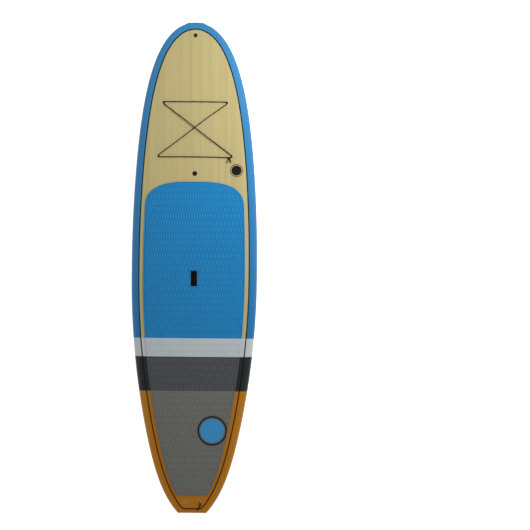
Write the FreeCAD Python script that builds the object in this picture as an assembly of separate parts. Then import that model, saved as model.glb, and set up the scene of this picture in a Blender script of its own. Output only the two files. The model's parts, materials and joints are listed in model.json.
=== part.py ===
import FreeCAD, Part
import math
import os

# Stand up paddleboard, a bamboo sandwich board lying on its bottom, deck up.
# +Y runs to the nose, +X to starboard, +Z up. The origin is under the middle of
# the length, at the lowest point of the bottom. Millimetres.

V = FreeCAD.Vector

# Driving dimensions of the hull
LENGTH = 3200.0
WIDTH = 825.0
THICKNESS = 114.0
NOSE_THICKNESS = 36.0
TAIL_THICKNESS = 46.0
NOSE_ROCKER = 160.0
TAIL_ROCKER = 52.0
TAIL_ROCKER_START = -100.0
WIDE_POINT = -50.0           # aft of this the outline narrows to the squash tail
ABOVE_EDGE = 0.54            # share of the thickness above the rail's edge
CROWN = 0.18                 # how much lower the deck is at the rail than at its middle
RAIL_ROUNDNESS = 0.75
NOSE_EDGE_RADIUS = 17.0
TAIL_EDGE_RADIUS = 21.0
TAIL_CORNER = 0.226          # tail width over the full width

# Skins and the pieces inside them
SKIN = 2.5
GLUE_LINE = 0.6              # between the skins and the core
STRINGER = 8.0
PIN_INSET = 52.0             # painted line and veneer joint, in from the outline
PIN_INSET_ENDS = 6.0         # how much closer it comes at nose and tail
PIN_TAIL_GAP = 32.0          # from the tail's end to the line's straight run
PIN_TAIL_HALF = 46.0         # half of that straight run
PIN_CORNER_START = 1541.0    # aft of the middle, where the line leaves the outline

# Deck pad
PAD_THICKNESS = 5.0
PAD_INSET = 80.0
PAD_INSET_ENDS = 18.0
PAD_FRONT = 570.0
PAD_CORNER = 200.0
PAD_REAR = -1511.0
BANDS = (-453.0, -573.0, -798.0)

# Carry handle
HANDLE_Y = -62.0
HANDLE_LENGTH = 102.0
HANDLE_WIDTH = 42.0
HANDLE_DEPTH = 58.0
HANDLE_WALL = 3.5
HANDLE_LEDGE = 15.0          # the deck left over the finger pocket
HANDLE_POCKET = 22.0         # how far the pocket reaches under it
BLOCK_WALL = 24.0            # foam around the handle's cup

# Vent
VENT_Y = 623.0
VENT_FLANGE = 15.5
VENT_FLANGE_HEIGHT = 2.6      # of which 1 mm stands proud
VENT_BARREL = 12.5
VENT_DEPTH = 26.0
VENT_HEAD = 9.5
VENT_SHANK = 4.0

# Lashing plugs, cords
BUNGEE = 6.0
STRING = 3.6
FRONT_PLUGS = (206.0, 1083.0)
REAR_PLUGS = (238.0, 735.0)
TAIL_PLUGS = (45.0, -1521.0)
NOSE_PLUG_Y = 1514.0
PIN_RADIUS = 1.6

# Plugs: radius of the flange, radius of the hole, depth
BUNGEE_PLUG = (11.0, 8.8, 20.0)
LEASH_PLUG = (9.5, 7.0, 18.0)
NOSE_PLUG = (12.5, 9.0, 22.0)
PLUG_WALL = 2.2
PLUG_FLANGE = 2.0            # the flange's height, of which part stands proud
PLUG_PROUD = 0.8
PLUG_PIN_DEPTH = 6.0

# Fin boxes: across, along, slot length, toe-in in degrees
CENTER_BOX = (0.0, -1340.0, 228.0, 0.0)
SIDE_BOX = (236.0, -1174.0, 96.0, 3.0)
SLOT_WIDTH = 8.6
LIP_WIDTH = 12.0
BOX_WIDTH = 25.0
BOX_DEPTH = 30.0
TRACK_WIDTH = 14.4
TRACK_TOP = 9.0
TRACK_BOTTOM = 13.6
NOTCH_LENGTH = 13.0          # where the nut plate goes in
PLATE = (13.0, 8.4, 3.2)     # nut plate across, along and thick
SCREW_RADIUS = 2.0
PARKED = 9.0                 # nut plate's middle from the slot's rear end

HALF = LENGTH / 2


# ---------------------------------------------------------------- hull shape

def half_width(y):
    """Half the board's width at y: a rounded nose and a squash tail."""
    if y >= 0:
        t = min(y / HALF, 1.0)
        return WIDTH / 2 * math.sqrt(max(0.0, 1 - 0.67 * t**2 - 0.31 * t**6 - 0.02 * t**20))
    s = max(0.0, (WIDE_POINT - y) / (HALF + WIDE_POINT))
    narrowing = 1 - TAIL_CORNER
    return WIDTH / 2 * (1 - 0.76 * narrowing * s**2 - 0.24 * narrowing * s**12)


def bottom_line(y):
    """Height of the bottom's middle line: flat amidships, rockered at both ends."""
    if y >= 0:
        return NOSE_ROCKER * (y / HALF) ** 2.6
    s = max(0.0, (TAIL_ROCKER_START - y) / (HALF + TAIL_ROCKER_START))
    return TAIL_ROCKER * s**2.4


def thickness(y):
    """Thickness on the middle line, before the ends are rounded."""
    if y >= 0:
        return THICKNESS - (THICKNESS - NOSE_THICKNESS) * (y / HALF) ** 2.8
    return THICKNESS - (THICKNESS - TAIL_THICKNESS) * (-y / HALF) ** 2.6


def end_round(y):
    """How far the nose and tail edges are rounded over: 1 inboard, 0 at the very end."""
    radius = NOSE_EDGE_RADIUS if y > 0 else TAIL_EDGE_RADIUS
    inboard = min(1.0, (HALF - abs(y)) / radius)
    return math.sqrt(1 - (1 - inboard) ** 2)


def section(y, across):
    """(edge height, height above it, depth below it) of the hull at a share of the half width."""
    above = ABOVE_EDGE * thickness(y)
    below = thickness(y) - above
    edge = bottom_line(y) + below
    squash = end_round(y)
    edge_above = above * (1 - CROWN) * squash
    power = 2 * RAIL_ROUNDNESS * half_width(y) / edge_above
    power_below = power * (edge_above / (below * squash)) ** 2
    up = squash * above * (1 - CROWN * across**2) * math.sqrt(1 - across**power)
    down = squash * below * math.sqrt(1 - across**power_below)
    return edge, up, down


def deck_height(x, y):
    edge, up, _ = section(y, abs(x) / half_width(y))
    return edge + up


def bottom_height(x, y):
    edge, _, down = section(y, abs(x) / half_width(y))
    return edge - down


def hull_point(y, s, skin):
    """A point of the starboard half: s is 0 on the deck's middle, 1 on the edge, 2 underneath."""
    across = 1 - (1 - s) ** 2
    edge, up, down = section(y, across)
    above = ABOVE_EDGE * thickness(y)
    below = thickness(y) - above
    z = edge + up * (1 - skin / above) if s <= 1 else edge - down * (1 - skin / below)
    x = half_width(y) * across * (1 - 2 * skin / WIDTH)
    return V(x, y * (1 - skin / HALF), z)


def stations():
    """Places along the board, close together at the ends where the hull is rounded."""
    count = 24
    shares = [0.008 + (1 - 0.008) * i / count for i in range(count + 1)]
    nose = [HALF * (1 - share**2) for share in shares]
    tail = [-y for y in reversed(nose[:-1])]
    return nose + tail


def half_hull(skin):
    """The closed starboard half of the hull, its surface moved in by skin."""
    rows = 14
    across = [i / rows for i in range(2 * rows + 1)]
    surface = Part.BSplineSurface()
    surface.interpolate([[hull_point(y, s, skin) for s in across] for y in stations()])
    skin_face = surface.toShape()
    ends, middles = [], []
    for edge in skin_face.Edges:
        box = edge.BoundBox
        (ends if box.YLength < 1.0 else middles).append(edge)
    nose_end, tail_end = sorted(ends, key=lambda e: -e.BoundBox.YMax)
    closing = []
    for end in (nose_end, tail_end):
        first, last = end.Vertexes[0].Point, end.Vertexes[-1].Point
        closing.append(Part.LineSegment(first, last).toShape())
    faces = [skin_face]
    for end, line in zip((nose_end, tail_end), closing):
        faces.append(Part.Face(Part.Wire(Part.__sortEdges__([end, line]))))
    faces.append(Part.Face(Part.Wire(Part.__sortEdges__(middles + closing))))
    shell = Part.Compound(faces)
    shell.sewShape()
    solid = Part.Solid(shell.Shells[0])
    if solid.Volume < 0:
        solid.reverse()
    return solid


def mirrored(shape):
    return shape.mirror(V(0, 0, 0), V(1, 0, 0))


# ---------------------------------------------------------------- outlines on the deck

def inset_point(y, inset):
    """The point that far inside the outline, measured square to it."""
    step = 0.01
    slope = (half_width(y - step) - half_width(y + step)) / (2 * step) if y < HALF - step else 1e6
    length = math.hypot(1.0, slope)
    return V(half_width(y) - inset / length, y - inset * slope / length, 0)


def inset_side(inset, ends, front, rear, count):
    """Points along the inside of the outline between two stations of the outline."""
    first = math.sqrt(max(0.0, 1 - front / HALF))
    last = math.sqrt(max(0.0, 1 - rear / HALF))
    points = []
    for i in range(count + 1):
        y = HALF * (1 - (first + (last - first) * i / count) ** 2)
        points.append(inset_point(y, inset - ends * (y / HALF) ** 4))
    return points


def spline(points):
    curve = Part.BSplineCurve()
    curve.interpolate(points)
    return curve.toShape()


def line(a, b):
    return Part.LineSegment(a, b).toShape()


def pin_prism():
    """The starboard half inside the painted line, as a tall prism reaching past the middle."""
    side = inset_side(PIN_INSET, PIN_INSET_ENDS, HALF, -PIN_CORNER_START, 40)
    side[0] = V(0, HALF - PIN_INSET + PIN_INSET_ENDS, 0)
    tail = -HALF + PIN_TAIL_GAP
    heading = (side[-1] - side[-2]).normalize()
    corner = side[-1] + heading * ((tail - side[-1].y) / heading.y)
    turn = Part.BezierCurve()
    straight = V(PIN_TAIL_HALF, tail, 0)
    turn.setPoles([side[-1], corner, straight])
    corners = [straight, V(-10, tail, 0), V(-10, side[0].y, 0), side[0]]
    edges = [spline(side), turn.toShape()]
    edges += [line(a, b) for a, b in zip(corners[:-1], corners[1:])]
    return prism(edges)


def prism(edges, low=-40.0, high=320.0):
    face = Part.Face(Part.Wire(Part.__sortEdges__(edges)))
    face.translate(V(0, 0, low))
    return face.extrude(V(0, 0, high - low))


def pad_prism():
    """The starboard half of the pad's outline, with big front corners and a straight rear."""
    centre = PAD_FRONT - PAD_CORNER
    side = inset_side(PAD_INSET, PAD_INSET_ENDS, centre, PAD_REAR, 24)
    widest = side[0]
    front = []
    for i in range(13):
        angle = math.pi / 2 * (1 - i / 12)
        x = widest.x * math.cos(angle) ** (2 / 3)
        front.append(V(x, centre + PAD_CORNER * math.sin(angle) ** (2 / 3), 0))
    front[0] = V(0, PAD_FRONT, 0)
    front[-1] = widest
    rear = V(side[-1].x, side[-1].y, 0)
    corners = [rear, V(-10, rear.y, 0), V(-10, PAD_FRONT, 0), V(0, PAD_FRONT, 0)]
    edges = [spline(front), spline(side)]
    edges += [line(a, b) for a, b in zip(corners[:-1], corners[1:])]
    return prism(edges)


# ---------------------------------------------------------------- simple solids

def box(x0, x1, y0, y1, z0, z1):
    return Part.makeBox(x1 - x0, y1 - y0, z1 - z0, V(x0, y0, z0))


def cylinder(radius, z0, z1, x=0.0, y=0.0):
    return Part.makeCylinder(radius, z1 - z0, V(x, y, z0))


def slot(length, width, z0, z1):
    """A slot with round ends along Y."""
    straight = (length - width) / 2
    solid = box(-width / 2, width / 2, -straight, straight, z0, z1)
    for end in (-straight, straight):
        solid = solid.fuse(cylinder(width / 2, z0, z1, 0, end))
    return solid.removeSplitter()


def rounded_box(length, width, z0, z1, radius):
    """A box along Y with rounded upright corners."""
    solid = box(-width / 2, width / 2, -length / 2, length / 2, z0, z1)
    upright = [e for e in solid.Edges if abs(e.tangentAt(e.FirstParameter).z) > 0.9]
    return solid.makeFillet(radius, upright)


# ---------------------------------------------------------------- places on the hull

def surface_placement(x, y, height, up, heading=0.0):
    """A frame on the hull at x, y: its Z points out of the surface, its Y towards the nose."""
    step = 1.0
    along = V(0, 2 * step, height(x, y + step) - height(x, y - step)).normalize()
    side = V(2 * step, 0, height(x + step, y) - height(x - step, y)).normalize()
    normal = side.cross(along).normalize() * up
    turn = FreeCAD.Rotation(normal, heading)
    forward = turn.multVec(along)
    right = forward.cross(normal).normalize()
    rotation = FreeCAD.Rotation(right, forward, normal, "ZYX")
    return FreeCAD.Placement(V(x, y, height(x, y)), rotation)


def deck_place(x, y, heading=0.0):
    return surface_placement(x, y, deck_height, 1, heading)


def bottom_place(x, y, heading=0.0):
    return surface_placement(x, y, bottom_height, -1, heading)


def placed(shape, placement):
    moved = shape.copy()
    moved.Placement = placement.multiply(moved.Placement)
    return moved


# ---------------------------------------------------------------- lashing plugs

def plug_pieces(flange, hole, depth):
    """(cup, cross pin, the space that both take in the hull), with the pin along X."""
    low = PLUG_PROUD - PLUG_FLANGE
    outer = hole + PLUG_WALL
    cup = cylinder(flange, low, PLUG_PROUD).fuse(cylinder(outer, -depth, low))
    rim = [e for e in cup.Edges if abs(e.BoundBox.ZMin - PLUG_PROUD) < 1e-6 and e.Length > 2 * flange]
    cup = cup.makeFillet(0.6, rim)
    cup = cup.cut(cylinder(hole, 2 - depth, PLUG_PROUD + 1))
    reach = hole + 1.4
    pin = Part.makeCylinder(PIN_RADIUS, 2 * reach, V(-reach, 0, -PLUG_PIN_DEPTH), V(1, 0, 0))
    cup = cup.cut(pin)
    space = cylinder(flange, low, 12.0).fuse(cylinder(outer, -depth, low))
    return cup, pin, space.removeSplitter()


# ---------------------------------------------------------------- vent

def vent_pieces():
    """(housing, seal ring, screw, the space that they take in the hull)."""
    proud = 1.0
    low = proud - VENT_FLANGE_HEIGHT
    head_top, head_low = 0.6, -3.2
    barrel = cylinder(VENT_BARREL, -VENT_DEPTH, low)
    housing = cylinder(VENT_FLANGE, low, proud).fuse(barrel)
    rim = [e for e in housing.Edges if abs(e.BoundBox.ZMin - proud) < 1e-6 and e.Length > 20]
    housing = housing.makeFillet(0.8, rim)
    seat = cylinder(VENT_HEAD + 0.5, head_low - 2.4, proud + 1)
    bore = cylinder(VENT_SHANK + 0.05, -VENT_DEPTH - 1, 0.0)
    housing = housing.cut(seat.fuse(bore))
    ring = Part.makeTorus(VENT_SHANK + 1.4, 1.0, V(0, 0, head_low - 1.35))
    head = cylinder(VENT_HEAD, head_low, head_top)
    coin_slot = box(-7.0, 7.0, -0.9, 0.9, head_top - 2, head_top + 1)
    rim = [e for e in head.Edges if abs(e.BoundBox.ZMin - head_top) < 1e-6]
    head = head.makeFillet(0.7, rim).cut(coin_slot)
    screw = head.fuse(cylinder(VENT_SHANK, -17.0, head_low)).removeSplitter()
    space = cylinder(VENT_FLANGE, low, proud + 11).fuse(barrel)
    return housing, ring, screw, space.removeSplitter()


# ---------------------------------------------------------------- handle

def handle_pieces():
    """(cup, soft grip, the space that they take, its foam block), on the flat of the deck."""
    top = PAD_THICKNESS - 0.6
    far = HANDLE_LENGTH / 2
    left = -HANDLE_WIDTH / 2
    right = HANDLE_WIDTH / 2 + HANDLE_POCKET
    bottom = -HANDLE_DEPTH - HANDLE_WALL
    throat = box(left, HANDLE_WIDTH / 2, -far, far, -HANDLE_LEDGE, top)
    lower = box(left, right, -far, far, bottom, -HANDLE_LEDGE)
    space = throat.fuse(lower).removeSplitter()
    inner_far = far - HANDLE_WALL
    inner_width = HANDLE_WIDTH - 2 * HANDLE_WALL
    roof = -HANDLE_LEDGE - HANDLE_WALL
    mouth = rounded_box(2 * inner_far, inner_width, -HANDLE_DEPTH, top + 1, 3.0)
    pocket = box(left + HANDLE_WALL, right - HANDLE_WALL, -inner_far, inner_far, -HANDLE_DEPTH, roof)
    floor_edges = [e for e in pocket.Edges if abs(e.BoundBox.ZMax + HANDLE_DEPTH) < 1e-6]
    cup = space.cut(mouth.fuse(pocket.makeFillet(5.0, floor_edges)))
    edge = inner_width / 2
    grip_thickness = 4.0
    grip_far = inner_far - 6.0
    grip = box(edge - grip_thickness, edge, -grip_far, grip_far, roof - 1, top - 6)
    inboard = [e for e in grip.Edges if e.BoundBox.XMax < edge - 3.9 and e.BoundBox.YLength > 40]
    grip = grip.makeFillet(2.4, inboard)
    around = far + BLOCK_WALL
    block = box(left - BLOCK_WALL, right + BLOCK_WALL, -around, around, bottom - 18, 30)
    return cup, grip, space, block


# ---------------------------------------------------------------- fin boxes

def fin_box_pieces(length):
    """(box, nut plate, screw, the space that the box takes). Z points out of the bottom."""
    shoulder = -3.2
    lip_length = length + LIP_WIDTH - SLOT_WIDTH
    lip = slot(lip_length, LIP_WIDTH, shoulder, -0.3)
    body = rounded_box(length + 22.0, BOX_WIDTH, -BOX_DEPTH, shoulder, 4.0)
    space = slot(lip_length, LIP_WIDTH, shoulder, 5.0).fuse(body)
    channel = slot(length, SLOT_WIDTH, 3.0 - BOX_DEPTH, 1.0)
    track = box(-TRACK_WIDTH / 2, TRACK_WIDTH / 2, -length / 2, length / 2, -TRACK_BOTTOM, -TRACK_TOP)
    notch_end = length / 2 - 5.0
    notch_half = LIP_WIDTH / 2 - 0.8
    notch = box(-notch_half, notch_half, notch_end - NOTCH_LENGTH, notch_end, -TRACK_TOP, 1.0)
    fin_box = lip.fuse(body).removeSplitter().cut(channel.fuse([track, notch]))
    plate, screw = nut_plate_and_screw()
    for piece in (plate, screw):
        piece.translate(V(0, PARKED - length / 2, 0))
    return fin_box, plate, screw, space.removeSplitter()


def nut_plate_and_screw():
    """The brass plate that runs in the fin box's track, and its cross-head M4 screw."""
    across, along, high = PLATE
    low = 0.4 - TRACK_BOTTOM
    plate = rounded_box(along, across, low, low + high, 2.2)
    plate = plate.cut(cylinder(SCREW_RADIUS + 0.05, low - 1, low + high + 1))
    head_low = low + high + 3.4
    head_top = head_low + 2.4
    head = cylinder(3.8, head_low, head_top)
    head = head.makeFillet(0.9, [e for e in head.Edges if abs(e.BoundBox.ZMin - head_top) < 1e-6])
    head = head.cut(box(-2.2, 2.2, -0.45, 0.45, head_top - 1.2, head_top + 1))
    head = head.cut(box(-0.45, 0.45, -2.2, 2.2, head_top - 1.2, head_top + 1))
    shank = cylinder(SCREW_RADIUS, low - 5, head_low)
    return plate, shank.fuse(head).removeSplitter()


# ---------------------------------------------------------------- cords

def tube(points, diameter):
    """A round cord along straight runs joined by tangent arcs."""
    edges = []
    start = points[0]
    for before, here, after in zip(points[:-2], points[1:-1], points[2:]):
        back = before - here
        ahead = after - here
        turn = math.pi - back.getAngle(ahead)
        reach = 0.45 * min(back.Length, ahead.Length)
        radius = reach / math.tan(turn / 2)
        a = here + back.normalize() * reach
        b = here + ahead.normalize() * reach
        towards = ((a + b) * 0.5 - here).normalize()
        middle = here + towards * (radius / math.cos(turn / 2) - radius)
        edges.append(line(start, a))
        edges.append(Part.Arc(a, middle, b).toShape())
        start = b
    edges.append(line(start, points[-1]))
    path = Part.Wire(edges)
    circle = Part.makeCircle(diameter / 2, points[0], points[1] - points[0])
    print(f"cord of {path.Length:.0f} mm")
    return path.makePipeShell([Part.Wire(circle)], True, True)


def cord_points(route, radius):
    """World points of a route given as x, y and the clearance under the cord."""
    return [V(x, y, deck_height(x, y) + radius + clear) for x, y, clear in route]


def under_pin(centre, inboard, sign, spread, depth, top):
    """Four points that take a cord down one side of a plug's pin and up the other."""
    place = deck_place(*centre)
    side = V(-inboard.y, inboard.x, 0).normalize() * sign * spread
    return [
        placed(Part.Vertex(side.x, side.y, top), place).Point,
        placed(Part.Vertex(side.x, side.y, -depth), place).Point,
        placed(Part.Vertex(-side.x, -side.y, -depth), place).Point,
        placed(Part.Vertex(-side.x, -side.y, top), place).Point,
    ]


# ---------------------------------------------------------------- the board

def plugs():
    """The plugs' pieces on the deck, and the spaces that they take."""
    pieces = {}
    spaces = []
    for name, (x, y), pin_direction, sizes in plug_list():
        angle = math.degrees(math.atan2(pin_direction.y, pin_direction.x))
        place = deck_place(x, y, angle)
        cup, pin, space = plug_pieces(*sizes)
        pieces[name] = placed(cup, place)
        pieces[name.replace("plug", "pin")] = placed(pin, place)
        spaces.append(placed(space, place))
    return pieces, spaces


def vent():
    place = deck_place(0, VENT_Y)
    housing, ring, screw, space = [placed(piece, place) for piece in vent_pieces()]
    return {"vent_housing": housing, "vent_seal": ring, "vent_screw": screw}, space


def handle():
    place = FreeCAD.Placement(V(0, HANDLE_Y, deck_height(0, HANDLE_Y)), FreeCAD.Rotation())
    cup, grip, space, block = [placed(piece, place) for piece in handle_pieces()]
    return {"handle_cup": cup, "handle_grip": grip}, space, block


def fin_boxes():
    """The boxes' pieces, the spaces that they take and the foam blocks around them."""
    pieces = {}
    spaces = []
    blocks = []
    boxes = (("center", CENTER_BOX, 1), ("starboard", SIDE_BOX, 1), ("port", SIDE_BOX, -1))
    for name, (x, y, length, toe_in), side in boxes:
        place = bottom_place(side * x, y, side * -toe_in)
        fin_box, plate, screw, space = [placed(piece, place) for piece in fin_box_pieces(length)]
        pieces[f"fin_box_{name}"] = fin_box
        pieces[f"fin_nut_plate_{name}"] = plate
        pieces[f"fin_screw_{name}"] = screw
        spaces.append(space)
        block = rounded_box(length + 60.0, BOX_WIDTH + 34.0, -BOX_DEPTH - 10.0, 10.0, 12.0)
        blocks.append((f"fin_block_{name}", placed(block, place), space))
    return pieces, spaces, blocks


def cores(core, blocks, spaces):
    """The two foam halves, the stringer between them and the foam blocks around the hardware."""
    pieces = {name: block.common(core).cut(own) for name, block, own in blocks}
    taken = [block for _, block, _ in blocks] + spaces
    slab = box(-STRINGER / 2, STRINGER / 2, -HALF, HALF, -10, 320)
    pieces["stringer"] = core.common(slab).cut(taken)
    halves = sorted(core.cut([slab] + taken).Solids, key=lambda s: s.CenterOfMass.x)
    pieces["core_port"] = halves[0]
    pieces["core_starboard"] = halves[-1]
    return pieces


def skins(shell, spaces):
    """Veneers inside the painted line, and a wrapped rail outside it, on each side."""
    window = pin_prism()
    veneers = sorted(shell.common(window).Solids, key=lambda s: s.CenterOfMass.z)
    halves = {"bottom_veneer": veneers[0], "deck_veneer": veneers[-1], "rail": shell.cut(window)}
    pieces = {}
    for name, skin in halves.items():
        pieces[f"{name}_starboard"] = skin.cut(spaces)
        pieces[f"{name}_port"] = mirrored(skin).cut(spaces)
    return pieces


def deck_pad(outer):
    """The deck pad in four die-cut sheets, open around the handle."""
    raised = outer.copy()
    raised.translate(V(0, 0, PAD_THICKNESS))
    sheet = raised.common(pad_prism()).cut(outer)
    sheet = sheet.fuse(mirrored(sheet)).removeSplitter()
    half_x = HANDLE_WIDTH / 2 + 0.5
    half_y = HANDLE_LENGTH / 2 + 0.5
    sheet = sheet.cut(box(-half_x, half_x, HANDLE_Y - half_y, HANDLE_Y + half_y, 90, 150))
    limits = (PAD_FRONT + 10,) + BANDS + (PAD_REAR - 40,)
    names = ("main", "white_band", "dark_band", "tail")
    return {
        f"deck_pad_{name}": sheet.common(box(-500, 500, rear, front, -40, 320))
        for name, front, rear in zip(names, limits[:-1], limits[1:])
    }


def main():
    outer = half_hull(0.0)
    inner = half_hull(SKIN)
    pieces, plug_spaces = plugs()
    vent_parts, vent_space = vent()
    handle_parts, handle_space, handle_block = handle()
    fin_parts, fin_spaces, blocks = fin_boxes()
    blocks.append(("handle_block", handle_block, handle_space))
    spaces = plug_spaces + fin_spaces + [vent_space, handle_space]
    half_core = half_hull(SKIN + GLUE_LINE)
    core = half_core.fuse(mirrored(half_core)).removeSplitter()
    pieces.update(vent_parts)
    pieces.update(handle_parts)
    pieces.update(fin_parts)
    pieces.update(cores(core, blocks, spaces))
    pieces.update(skins(outer.cut(inner), spaces))
    pieces.update(deck_pad(outer))
    pieces.update(bungee_pieces())
    pieces.update(leash_string_pieces())
    os.makedirs("parts", exist_ok=True)
    for name, shape in pieces.items():
        solids = shape.Solids
        print(f"{name:28s} solids {len(solids)} valid {shape.isValid()} {shape.Volume / 1000:.1f} cm3")
        result = solids[0] if len(solids) == 1 else Part.Compound(solids)
        result.exportStep(f"parts/{name}.step")


def plug_list():
    """(name, place, direction of the pin, sizes) of every plug on the deck."""
    along_x = V(1, 0, 0)
    found = [("nose_plug", (0.0, NOSE_PLUG_Y), along_x, NOSE_PLUG)]
    for side, name in ((-1, "port"), (1, "starboard")):
        front, far_front = [V(s * FRONT_PLUGS[0], FRONT_PLUGS[1], 0) for s in (side, -side)]
        rear, far_rear = [V(s * REAR_PLUGS[0], REAR_PLUGS[1], 0) for s in (side, -side)]
        front_pin = bisector(front, far_front, far_rear)
        rear_pin = bisector(rear, far_rear, far_front)
        tail = (side * TAIL_PLUGS[0], TAIL_PLUGS[1])
        found.append((f"bungee_plug_front_{name}", (front.x, front.y), front_pin, BUNGEE_PLUG))
        found.append((f"bungee_plug_rear_{name}", (rear.x, rear.y), rear_pin, BUNGEE_PLUG))
        found.append((f"leash_plug_{name}", tail, along_x, LEASH_PLUG))
    return found


def bisector(at, first, second):
    return ((first - at).normalize() + (second - at).normalize()).normalize()


# Routes are x, y and the gap under the cord, so that they follow the deck.
BUNGEE_REAR = ((217, 727.5, 2.0), (188, 729, 1.6), (0, 731.5, 1.3), (-200, 730, 1.6))
BUNGEE_UNDER = ((-206, 766.5, 1.8), (-80, 860.5, 0.9), (74, 982, 0.9), (174, 1050.5, 1.8))
BUNGEE_FRONT = ((168, 1087.5, 1.6), (0, 1088.5, 1.3), (-168, 1087.5, 1.6))
BUNGEE_OVER = ((-176, 1052.5, 2.6), (-48, 958.5, 8.2), (46, 885, 8.2), (206, 766.5, 2.6))
BUNGEE_END = ((229, 726, 3.4),)
BUNGEE_KNOT = (224.0, 726.5, 3.6)
BUNGEE_TAILS = ((208.0, 696.0), (234.0, 695.0))
STRING_OUT = ((54.5, -1535, 2.2), (47, -1527, 4.0))
STRING_BACK = ((51, -1529, 1.8), (55.5, -1534, 2.4))
STRING_LOOP = ((51.5, -1544, 1.2), (39, -1566, 0.6), (31.5, -1579, 0.4),
               (35.5, -1582.5, 0.4), (44, -1567, 0.6), (56, -1545.5, 1.2))
STRING_KNOT = (55.5, -1539.5, 2.8)


def knot(x, y, clear, diameter, direction):
    """A tied knot as a plain blob, longer along its cord."""
    ball = Part.makeSphere(diameter)
    stretch = FreeCAD.Matrix()
    stretch.scale(V(1.35, 1.05, 0.95))
    blob = ball.transformGeometry(stretch)
    turn = FreeCAD.Rotation(V(0, 0, 1), direction)
    return placed(blob, FreeCAD.Placement(V(x, y, deck_height(x, y) + diameter / 2 + clear), turn))


def bungee_pieces():
    """One shock cord: along the rear, across to starboard, along the front and back across."""
    radius = BUNGEE / 2
    front = [V(side * FRONT_PLUGS[0], FRONT_PLUGS[1], 0) for side in (-1, 1)]
    rear = [V(side * REAR_PLUGS[0], REAR_PLUGS[1], 0) for side in (-1, 1)]

    def dip(at, first, second, sign):
        return under_pin((at.x, at.y), bisector(at, first, second), sign, 5.4, 10.8, 5.2)

    points = cord_points(BUNGEE_REAR, radius)
    points += dip(rear[0], rear[1], front[1], -1)
    points += cord_points(BUNGEE_UNDER, radius)
    points += dip(front[1], front[0], rear[0], 1)
    points += cord_points(BUNGEE_FRONT, radius)
    points += dip(front[0], front[1], rear[1], 1)
    points += cord_points(BUNGEE_OVER, radius)
    points += dip(rear[1], rear[0], front[0], -1)
    points += cord_points(BUNGEE_END, radius)
    cord = tube(points, BUNGEE)
    x, y, clear = BUNGEE_KNOT
    tied = knot(x, y, clear, 7.0, 20.0)
    heart = V(x, y, deck_height(x, y) + radius + clear)
    for tip_x, tip_y in BUNGEE_TAILS:
        tip = V(tip_x, tip_y, deck_height(tip_x, tip_y) + radius + 0.4)
        tied = tied.fuse(Part.makeCylinder(radius, (tip - heart).Length, heart, tip - heart))
    return {"bungee_cord": cord, "bungee_knot": tied.removeSplitter()}


def leash_string_pieces():
    """The short leash string: looped under the starboard plug's pin, knotted, its loop aft."""
    radius = STRING / 2
    centre = (TAIL_PLUGS[0], TAIL_PLUGS[1])
    points = cord_points(STRING_OUT, radius)
    points += under_pin(centre, V(1, 0, 0), 1, 4.4, 9.6, 3.8)
    points += cord_points(STRING_BACK, radius)
    through = tube(points, STRING)
    loop = tube(cord_points(STRING_LOOP, radius), STRING)
    x, y, clear = STRING_KNOT
    tied = knot(x, y, clear, 5.6, -50.0)
    return {"leash_string": Part.Compound([through, loop]), "leash_knot": tied}


main()
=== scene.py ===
import json
import math

import bpy
from mathutils import Matrix, Vector
from mathutils.geometry import delaunay_2d_cdt


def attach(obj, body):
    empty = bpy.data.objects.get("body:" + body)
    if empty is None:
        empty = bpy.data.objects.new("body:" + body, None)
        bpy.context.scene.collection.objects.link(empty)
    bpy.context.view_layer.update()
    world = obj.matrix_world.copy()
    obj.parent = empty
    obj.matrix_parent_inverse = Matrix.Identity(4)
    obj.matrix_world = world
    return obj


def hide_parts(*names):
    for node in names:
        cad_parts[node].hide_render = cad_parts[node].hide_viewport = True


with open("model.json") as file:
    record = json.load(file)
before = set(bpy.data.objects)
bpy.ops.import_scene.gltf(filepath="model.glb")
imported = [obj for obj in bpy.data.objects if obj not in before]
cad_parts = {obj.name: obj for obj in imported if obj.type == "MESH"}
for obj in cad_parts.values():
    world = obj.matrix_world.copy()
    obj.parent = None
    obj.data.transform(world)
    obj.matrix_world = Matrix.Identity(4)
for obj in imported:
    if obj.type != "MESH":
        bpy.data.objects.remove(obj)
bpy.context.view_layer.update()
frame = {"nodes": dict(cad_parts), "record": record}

# The paddleboard's looks. Sizes are in millimetres in the row's frame, +Y to the nose,
# +X to starboard, +Z up, and become metres where a mesh is made.
MM = 0.001
HULL = "hull"

# Hull shape, as in the part
LENGTH, WIDTH, THICKNESS = 3200.0, 825.0, 114.0
HALF = LENGTH / 2
NOSE_THICKNESS, TAIL_THICKNESS = 36.0, 46.0
NOSE_ROCKER, TAIL_ROCKER, TAIL_ROCKER_START = 160.0, 52.0, -100.0
WIDE_POINT, TAIL_CORNER = -50.0, 0.226
ABOVE_EDGE, CROWN, RAIL_ROUNDNESS = 0.54, 0.18, 0.75
NOSE_EDGE_RADIUS, TAIL_EDGE_RADIUS = 17.0, 21.0

# Painted line, pad and colour bands. The line is left out where a side fin box interrupts it.
PIN_INSET, PIN_INSET_ENDS, PIN_WIDTH = 52.0, 6.0, 8.0
PIN_TAIL_Y, PIN_TAIL_HALF, PIN_CORNER_START = -1568.0, 46.0, -1541.0
SIDE_FIN_GAP = (-1228.0, -1120.0)
FILM = (-0.5, 0.35)                         # a painted film's sunk and raised edges, from the hull
PAD_INSET, PAD_INSET_ENDS = 80.0, 18.0
PAD_FRONT, PAD_CORNER, PAD_REAR = 570.0, 200.0, -1511.0
WHITE_FROM, DARK_FROM, ORANGE_FROM = -453.0, -573.0, -798.0
HANDLE = (-21.5, -113.5, 21.5, -10.5)       # the pad's opening: low x, low y, high x, high y

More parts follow.
